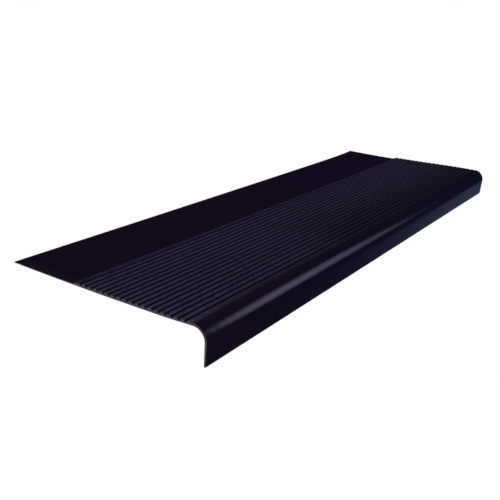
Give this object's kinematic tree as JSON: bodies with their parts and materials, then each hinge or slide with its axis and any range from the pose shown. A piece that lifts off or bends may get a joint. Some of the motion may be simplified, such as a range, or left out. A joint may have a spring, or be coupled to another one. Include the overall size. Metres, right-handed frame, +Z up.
{
  "type": "rubber stair tread",
  "caption": "Rubber stair tread with a ribbed walking surface, a plain thin strip at the back, and a rounded nosing whose short flange hangs over the step's edge.",
  "frame": {"origin": "centre of the footprint on the floor, as the tread lies unheld: on its flange's toe and its back edge", "axes": "+X along the nosing, +Y from the nosing towards the back edge, +Z up; the walking surface leans 7.9 degrees down towards +Y"},
  "size_m": [0.9144, 0.3124, 0.0446],
  "materials": {
    "rubber": "black moulded rubber, satin on the plain parts and duller on the ribs"
  },
  "bodies": {
    "root": {"tread": "rubber"}
  },
  "joints": []
}
